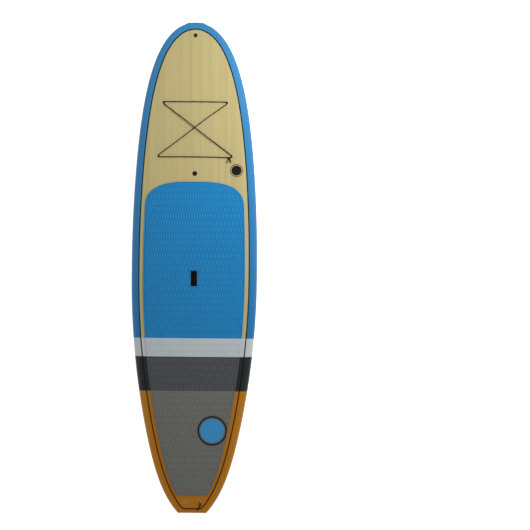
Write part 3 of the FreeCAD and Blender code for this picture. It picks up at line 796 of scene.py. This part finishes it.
def moulded(name, colour, roughness, grain=0.25, coat=0.0):
    """Injection-moulded plastic or rubber with a fine spark-eroded grain."""
    finish = Finish(name, Coat_Weight=coat, Coat_Roughness=0.15, Specular_IOR_Level=0.45)
    cells = finish.noise((1500.0, 1500.0, 1500.0), 2.0)
    flow = finish.noise((70.0, 50.0, 70.0), 3.0)
    finish.colour(finish.times(linear(colour), finish.around_one(flow, 0.08), finish.around_one(cells, 0.05)))
    finish.roughness(finish.math("MULTIPLY_ADD", flow, 0.14, roughness - 0.07))
    finish.bump(cells, 0.0002, grain)
    return finish.material


def metal(name, colour, roughness):
    """Turned metal: fine circular scratches and a little tarnish."""
    finish = Finish(name, Metallic=1.0)
    scratches = finish.noise((1800.0, 240.0, 1800.0), 2.0)
    tarnish = finish.noise((160.0, 160.0, 160.0), 3.0)
    finish.colour(finish.times(linear(colour), finish.around_one(tarnish, 0.10)))
    finish.roughness(finish.math("MULTIPLY_ADD", scratches, 0.22, roughness - 0.11))
    finish.bump(scratches, 0.0001, 0.25)
    return finish.material


def foam_core(name, colour):
    """Foamed beads."""
    finish = Finish(name, Roughness=0.85)
    beads = finish.node("TexVoronoi", {"Vector": finish.place, "Scale": 260.0}).outputs["Distance"]
    finish.colour(finish.times(linear(colour), finish.around_one(beads, 0.08)))
    finish.bump(beads, 0.001, 0.4)
    return finish.material


def plain_wood(name, colour):
    finish = Finish(name, Roughness=0.6)
    grain = finish.noise((300.0, 6.0, 90.0), 4.0, 0.65)
    finish.colour(finish.times(linear(colour), finish.around_one(grain, 0.22)))
    finish.bump(grain, 0.0005, 0.3)
    return finish.material


def braided_cover(name, dark, light, strands, pitch_cm):
    """A cord's woven sleeve: two sets of strands wound opposite ways, with painted light and shade on the
    weave and lighter dots where both strand sets crest.
    """
    finish = Finish(name, Roughness=0.8, Specular_IOR_Level=0.15)
    coordinates = finish.node("UVMap", uv_map="cord").outputs["UV"]
    parts = finish.node("SeparateXYZ", {"Vector": coordinates}).outputs
    around = finish.math("MULTIPLY", parts["X"], strands * math.pi)
    along = finish.math("MULTIPLY", parts["Y"], 2 * math.pi / pitch_cm)
    waves = []
    for sign in (1, -1):
        angle = finish.math("MULTIPLY_ADD", along, sign, around)
        waves.append(finish.math("ABSOLUTE", finish.math("SINE", angle)))
    weave = finish.math("MAXIMUM", *waves)
    # Lighter dots where both strand sets crest.
    crest_dots = finish.math("GREATER_THAN", finish.math("MULTIPLY", *waves), 0.93)
    fuzz = finish.noise((2500.0, 2500.0, 2500.0), 2.0)
    # Painted light and shade: the one yarn colour is lighter on the strands' crests and darker between them.
    yarn_with_painted_light_and_shade = finish.times(linear(dark), finish.around_one(weave, 0.35), finish.around_one(fuzz, 0.3))
    finish.colour(finish.mix(crest_dots, yarn_with_painted_light_and_shade, linear(light)))
    finish.bump(weave, 0.0004, 0.7)
    return finish.material


def printed(name, colour):
    """A printed ink under the gloss coat."""
    finish = Finish(name, Coat_Weight=0.2, Coat_Roughness=0.12, Roughness=0.45, Specular_IOR_Level=0.2)
    tone = finish.noise((40.0, 40.0, 40.0), 3.0)
    finish.colour(finish.times(linear(colour), finish.around_one(tone, 0.05)))
    return finish.material


# ---------------------------------------------------------------- camera and light

CAMERA_HEIGHT = 10.0
LENS, SENSOR = 102.85, 36.0
CAMERA_RIGHT, CAMERA_UP = 0.4637895, 0.0259302   # of the board's middle, in metres, as the camera is turned
ROLL = math.radians(0.53)
KEY_PLACE, KEY_AIM, KEY_SIZE, KEY_POWER = (1.18, 1.43, 1.72), (0.0, 0.3, 0.1), 1.2, 40.0
SKY_LOW, SKY_HIGH, FLOOR_GLOW = 1.0, 0.25, 0.8


def add_camera():
    """Looks straight down, with the board to the left in the picture and very slightly rolled."""
    camera = bpy.data.cameras.new("camera")
    camera.lens, camera.sensor_width = LENS, SENSOR
    right = Vector((math.cos(ROLL), math.sin(ROLL), 0))
    up = Vector((-math.sin(ROLL), math.cos(ROLL), 0))
    made = bpy.data.objects.new("camera", camera)
    made.location = right * CAMERA_RIGHT + up * CAMERA_UP + Vector((0, 0, CAMERA_HEIGHT))
    made.rotation_euler = (0, 0, ROLL)
    bpy.context.scene.collection.objects.link(made)
    bpy.context.scene.camera = made


def add_area_light(name, place, aim, size, power):
    light = bpy.data.lights.new(name, "AREA")
    light.shape, light.size, light.energy = "DISK", size, power
    made = bpy.data.objects.new(name, light)
    made.location = place
    made.rotation_euler = (Vector(aim) - Vector(place)).to_track_quat("-Z", "Y").to_euler()
    made.visible_camera = made.visible_glossy = False
    bpy.context.scene.collection.objects.link(made)


def add_sky():
    """A white sky, dimmer overhead than near the horizon."""
    world = bpy.data.worlds.new("studio")
    world.use_nodes = True
    nodes, links = world.node_tree.nodes, world.node_tree.links
    direction = nodes.new("ShaderNodeTexCoord").outputs["Generated"]
    height = nodes.new("ShaderNodeSeparateXYZ")
    links.new(direction, height.inputs[0])
    strength = nodes.new("ShaderNodeMapRange")
    for name, value in (("From Min", 0.0), ("From Max", 1.0), ("To Min", SKY_LOW), ("To Max", SKY_HIGH)):
        strength.inputs[name].default_value = value
    links.new(height.outputs["Z"], strength.inputs["Value"])
    links.new(strength.outputs["Result"], nodes["Background"].inputs["Strength"])
    nodes["Background"].inputs["Color"].default_value = (1.0, 1.0, 1.0, 1.0)
    bpy.context.scene.world = world


def add_floor():
    """A white floor lit from behind, as a light table is, so that no shadow shows on it."""
    mesh = bpy.data.meshes.new("floor")
    far = 30.0
    mesh.from_pydata([(-far, -far, 0), (far, -far, 0), (far, far, 0), (-far, far, 0)], [], [(0, 1, 2, 3)])
    floor = bpy.data.objects.new("floor", mesh)
    bpy.context.scene.collection.objects.link(floor)
    paint = Finish("floor", Roughness=0.9, Specular_IOR_Level=0.1,
                   Emission_Color=(1.0, 1.0, 1.0, 1.0), Emission_Strength=FLOOR_GLOW)
    paint.colour(paint.times((0.93, 0.93, 0.93, 1.0), paint.around_one(paint.noise((2.0, 2.0, 2.0)), 0.01)))
    mesh.materials.append(paint.material)
    floor.visible_diffuse = floor.visible_glossy = floor.visible_shadow = False


def add_studio():
    """Soft daylight all round, with a key light from starboard and forward."""
    bpy.context.scene.view_settings.view_transform = "Standard"
    add_sky()
    add_area_light("key", KEY_PLACE, KEY_AIM, KEY_SIZE, KEY_POWER)
    add_floor()


# ---------------------------------------------------------------- the board

def dress_nodes():
    """The CAD nodes that are shown as they are, each with the material of its slot."""
    finishes = {
        "core_foam": foam_core("core_foam", "#e9e8e2"),
        "block_foam": foam_core("block_foam", "#d8c79a"),
        "stringer_wood": plain_wood("stringer_wood", "#c89b64"),
        "deck_bamboo": veneer("deck_bamboo", (0.460, 0.386, 0.177, 1.0), 0.10),
        "bottom_bamboo": veneer("bottom_bamboo", (0.420, 0.352, 0.150, 1.0), 0.22),
        "rail_paint": rail_paint(),
        "black_plastic": moulded("black_plastic", "#17130f", 0.42),
        "black_rubber": moulded("black_rubber", "#201d1c", 0.7, 0.4),
        "pale_plastic": moulded("pale_plastic", "#cfc09a", 0.35, 0.15, 0.3),
        "stainless": metal("stainless", "#c9c8c4", 0.3),
        "box_plastic": moulded("box_plastic", "#8a8a7c", 0.4),
        "brass_plate": metal("brass_plate", "#d9b25c", 0.35),
    }
    for entry in frame["record"]["subparts"]:
        finish = finishes.get(entry["material_slot"])
        node = frame["nodes"][entry["node"]]
        if finish:
            node.data.materials.clear()
            node.data.materials.append(finish)
            node.data.polygons.foreach_set("material_index", [0] * len(node.data.polygons))


def add_cords():
    """The bungee with its knot, and the leash string in two runs with its knot."""
    cover = braided_cover("bungee_cover", "#0e0b08", "#332a1e", 8, 0.9)
    bungee, line = cord_object("bungee_lashing", bungee_route(), BUNGEE, "bungee_cover", cover)
    knot = knot_object("bungee_tied_knot", BUNGEE_KNOT, BUNGEE, (9.4, 7.2, 6.4), 20,
                       BUNGEE_TAILS, "bungee_cover", cover)
    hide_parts("bungee_cord")
    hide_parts("bungee_knot")

    cover = braided_cover("string_cover", "#15100f", "#3a3330", 6, 0.55)
    radius = STRING / 2
    through = cord_points(STRING_OUT, radius) + under_pin(TAIL_PLUG, Vector((1, 0)), 1, STRING_DIP)
    through += cord_points(STRING_BACK, radius)
    knot = knot_object("leash_tied_knot", STRING_KNOT, STRING, (7.4, 5.7, 5.1), -50,
                       (), "string_cover", cover)
    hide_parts("leash_knot")
    parts = (("leash_string_through", through, STRING_THROUGH_LENGTH, "knot", [knot]),
             ("leash_string_loop", cord_points(STRING_LOOP, radius), STRING_LOOP_LENGTH, "object", []))
    for name, points, length, far_end, others in parts:
        piece, line = cord_object(name, points, STRING, "string_cover", cover)
        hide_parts("leash_string")


def add_pad():
    """The pad's four sheets, from front to rear. The first is cut only by the pad's own outline."""
    # Each sheet's last number darkens its groove copy as painted shade.
    sheets = (
        ("main", PAD_FRONT + 10, WHITE_FROM, "pad_blue", (0.010, 0.222, 0.510), 0.72),
        ("white_band", WHITE_FROM, DARK_FROM, "pad_white", (0.51, 0.56, 0.59), 0.86),
        ("dark_band", DARK_FROM, ORANGE_FROM, "pad_dark", (0.080, 0.086, 0.093), 0.62),
        ("tail", ORANGE_FROM, PAD_REAR, "pad_grey", (0.172, 0.172, 0.155), 0.74),
    )
    for name, front, rear, slot, colour, groove in sheets:
        made = pad_sheet(f"pad_{name}", front, rear, pad_foam(slot, colour, groove), slot)
        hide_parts(f"deck_pad_{name}")


def add_graphics():
    """The painted line and the plain rings and discs. Each band is outer, inner, ink."""
    line = line_paint()
    pin_line("pin_line_deck", deck_height, (), line)
    pin_line("pin_line_bottom", bottom_height, (SIDE_FIN_GAP,), line)
    blue, black = printed("graphic_blue", "#3b8fc6"), printed("graphic_black", "#15171a")
    inks = [black, blue]
    r = ROUNDEL_RADIUS
    disc("pad_roundel", (ROUNDEL.x, ROUNDEL.y), ((r, r - 9, 0), (r - 18, 0, 1)), (BAR_FOOT, PAD_TOP),
         deck_height, "pad_grey", inks)
    disc("deck_roundel", (272.0, 645.0), ((42, 38, 0), (33, 0, 0)), FILM,
         deck_height, "deck_bamboo", inks)
    disc("bottom_roundel", (-218.0, 936.0), ((82, 75, 0), (66, 0, 1)), FILM,
         bottom_height, "bottom_bamboo", inks)


add_camera()
add_studio()
dress_nodes()
add_cords()
add_pad()
add_graphics()
